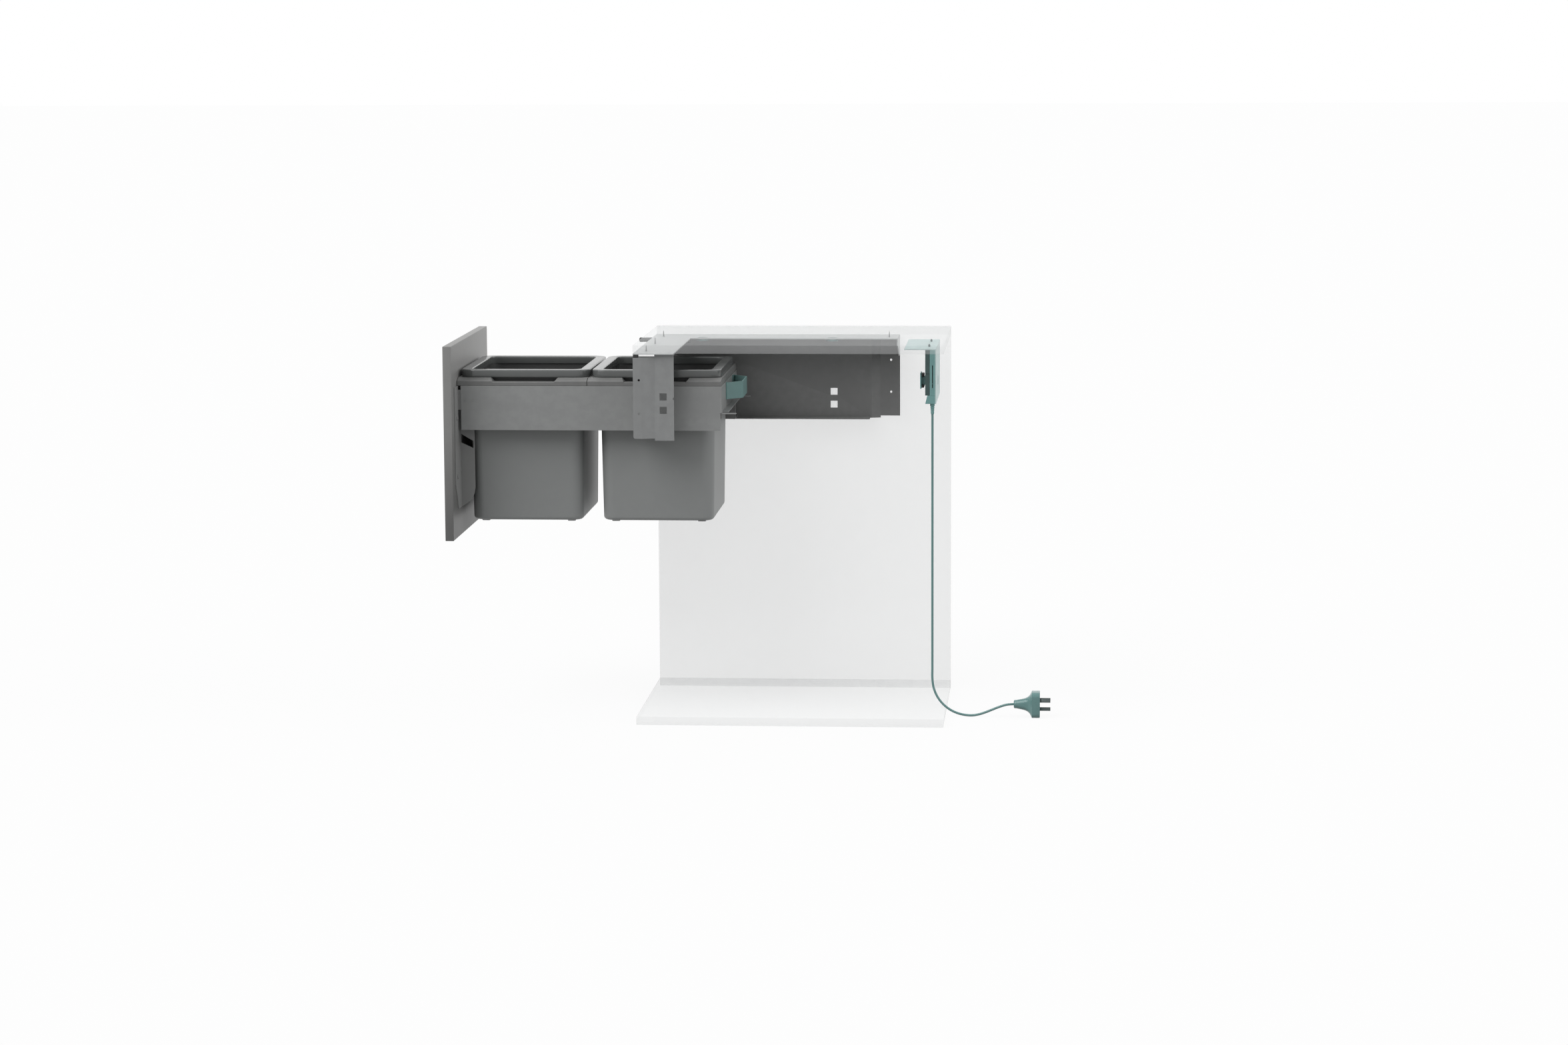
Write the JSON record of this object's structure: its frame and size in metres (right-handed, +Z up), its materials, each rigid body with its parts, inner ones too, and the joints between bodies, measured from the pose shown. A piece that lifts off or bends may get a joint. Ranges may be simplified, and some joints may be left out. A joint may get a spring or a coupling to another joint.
{
  "type": "pull-out waste cabinet",
  "caption": "Cutaway base cabinet with a door-mounted sliding frame that carries lift-out waste bins, hung from a steel top frame, with an electric opener and its mains cord.",
  "frame": {"origin": "centre of the object's footprint box, cord left out, on the underside of the bottom panel", "axes": "+X from the door towards the rear of the cabinet, +Y towards the standing side panel, +Z up"},
  "size_m": [1.1358, 0.448, 0.72],
  "materials": {
    "ghost_panel": "translucent white panel",
    "frame_steel": "dark grey powder coat",
    "drawer_steel": "grey powder coat",
    "zinc": "zinc plated",
    "black_nylon": "black nylon",
    "black_rubber": "black rubber",
    "frame_plastic": "grained grey plastic",
    "bin_plastic": "grained grey plastic",
    "rim_plastic": "satin grey plastic",
    "door_board": "grey lacquered board",
    "teal_steel": "teal powder coat",
    "teal_plastic": "teal plastic",
    "teal_pale": "pale teal powder coat",
    "motor_can": "plain steel can",
    "brass_gear": "machined brass",
    "circuit_board": "green solder resist",
    "module_case": "black moulding",
    "teal_cord": "teal flexible sheath",
    "pin_metal": "bare metal"
  },
  "bodies": {
    "carcass": {"top_panel": "ghost_panel", "side_panel": "ghost_panel", "bottom_panel": "ghost_panel", "panel_dowels": "ghost_panel", "frame_top": "frame_steel", "near_leg": "frame_steel", "far_side_plate": "frame_steel", "frame_rivets": "zinc", "frame_screws": "zinc", "strip_caps": "teal_plastic", "edge_buffer": "black_nylon", "buffer_sleeve": "black_nylon", "guide_near": "frame_steel", "guide_far": "frame_steel", "glide_near": "black_nylon", "glide_far": "black_nylon", "unit_bracket": "teal_pale", "unit_screws": "teal_plastic", "unit_shell": "teal_plastic", "unit_cover": "teal_plastic", "inlet_box": "teal_plastic", "gear_motor": "motor_can", "control_board": "circuit_board", "power_module": "module_case", "cord_gland": "teal_cord", "cord": "teal_cord", "plug_body": "teal_cord", "plug_pins": "pin_metal"},
    "sliding_frame": {"rail_near": "drawer_steel", "rail_far": "drawer_steel", "drawer_side_near": "drawer_steel", "drawer_side_far": "drawer_steel", "rear_panel": "drawer_steel", "cross_bar": "drawer_steel", "bin_frame_front": "frame_plastic", "bin_frame_rear": "frame_plastic", "front_bracket_near": "drawer_steel", "front_bracket_far": "drawer_steel", "side_screws": "zinc", "door_screws": "zinc", "door_front": "door_board", "push_bracket": "teal_steel", "push_screws": "zinc"},
    "front_bin": {"bin_front": "bin_plastic", "rim_front": "rim_plastic", "bin_feet_front": "bin_plastic"},
    "rear_bin": {"bin_rear": "bin_plastic", "rim_rear": "rim_plastic", "bin_feet_rear": "bin_plastic"},
    "pusher": {"pusher_arm": "teal_plastic", "pusher_pads": "black_rubber"},
    "pinion": {"drive_pinion": "brass_gear"},
    "plunger": {"buffer_plunger": "black_nylon"}
  },
  "joints": [
    {"name": "frame_slide", "type": "slide", "parent": "carcass", "child": "sliding_frame", "axis": [1, 0, 0], "range_m": [0, 0.336]},
    {"name": "front_bin_lift", "type": "slide", "parent": "sliding_frame", "child": "front_bin", "axis": [0, 0, 1], "range_m": [0, 0.028]},
    {"name": "rear_bin_lift", "type": "slide", "parent": "sliding_frame", "child": "rear_bin", "axis": [0, 0, 1], "range_m": [0, 0.01]},
    {"name": "pusher_slide", "type": "slide", "parent": "carcass", "child": "pusher", "axis": [1, 0, 0], "range_m": [0, 0.01]},
    {"name": "pinion_turn", "type": "hinge", "parent": "carcass", "child": "pinion", "pos_m": [0.4388, 0.0141, 0.634], "axis": [0, 0, 1], "range_deg": [0, 100]},
    {"name": "plunger_slide", "type": "slide", "parent": "carcass", "child": "plunger", "axis": [1, 0, 0], "range_m": [0, 0.028]}
  ],
  "couplings": [
    {"joint": "pinion_turn", "follows": "pusher_slide", "rad_per_m": 166.67},
    {"joint": "plunger_slide", "follows": "frame_slide", "ratio": 0.081845}
  ]
}
